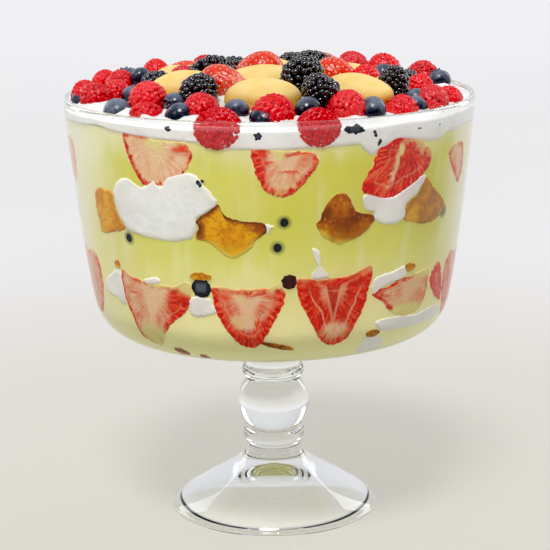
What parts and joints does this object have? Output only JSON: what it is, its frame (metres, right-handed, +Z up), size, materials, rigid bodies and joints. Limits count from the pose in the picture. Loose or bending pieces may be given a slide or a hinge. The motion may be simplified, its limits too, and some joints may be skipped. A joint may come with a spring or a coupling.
{
  "type": "trifle",
  "caption": "Trifle in a footed glass bowl: custard, whipped cream, cut strawberries and sponge in layers behind the glass, heaped with berries and sponge cakes.",
  "frame": {"origin": "middle of the foot's underside, on the surface that the dish stands on", "axes": "+Z up along the bowl's axis, -Y to the front, +X to the right"},
  "size_m": [0.2206, 0.2206, 0.2566],
  "materials": {
    "glass": "clear polished glass",
    "custard": "smooth set custard, wet against the glass",
    "cream": "soft whipped cream",
    "sponge": "baked sponge, golden with browner edges",
    "cut_strawberry": "wet cut fruit, red at the rim and pale at the core",
    "strawberry": "glossy red skin with pale seeds",
    "raspberry": "soft red drupelets",
    "bramble": "glossy near-black drupelets",
    "blueberry": "dark blue skin with a pale bloom"
  },
  "bodies": {
    "root": {"glass_bowl": "glass", "custard_bottom": "custard", "cream_lower": "cream", "custard_middle": "custard", "cream_middle": "cream", "custard_top": "custard", "cream_top_berries": "raspberry", "low_strawberry_01": "cut_strawberry", "low_strawberry_02": "cut_strawberry", "low_strawberry_03": "cut_strawberry", "low_strawberry_04": "cut_strawberry", "low_strawberry_05": "cut_strawberry", "low_strawberry_06": "cut_strawberry", "low_strawberry_07": "cut_strawberry", "low_strawberry_08": "cut_strawberry", "low_strawberry_09": "cut_strawberry", "low_strawberry_10": "cut_strawberry", "low_strawberry_11": "cut_strawberry", "high_strawberry_01": "cut_strawberry", "high_strawberry_02": "cut_strawberry", "high_strawberry_03": "cut_strawberry", "high_strawberry_04": "cut_strawberry", "high_strawberry_05": "cut_strawberry", "high_strawberry_06": "cut_strawberry", "high_strawberry_07": "cut_strawberry", "high_strawberry_08": "cut_strawberry", "high_strawberry_09": "cut_strawberry", "side_sponge_01": "sponge", "side_sponge_02": "sponge", "side_sponge_03": "sponge", "side_sponge_04": "sponge", "side_sponge_05": "sponge", "side_sponge_06": "sponge", "side_sponge_07": "sponge", "side_sponge_08": "sponge", "side_blueberry_01": "blueberry", "side_blueberry_02": "blueberry", "bramble_01": "bramble", "bramble_02": "bramble", "bramble_03": "bramble", "bramble_04": "bramble", "bramble_05": "bramble", "bramble_06": "bramble", "bramble_07": "bramble", "bramble_08": "bramble", "bramble_09": "bramble", "bramble_10": "bramble", "strawberry_01": "strawberry", "strawberry_02": "strawberry", "strawberry_03": "strawberry", "strawberry_04": "strawberry", "strawberry_05": "strawberry", "top_sponge_01": "sponge", "top_sponge_02": "sponge", "top_sponge_03": "sponge", "top_sponge_04": "sponge", "top_sponge_05": "sponge", "top_sponge_06": "sponge", "top_sponge_07": "sponge", "top_sponge_08": "sponge"}
  },
  "joints": []
}
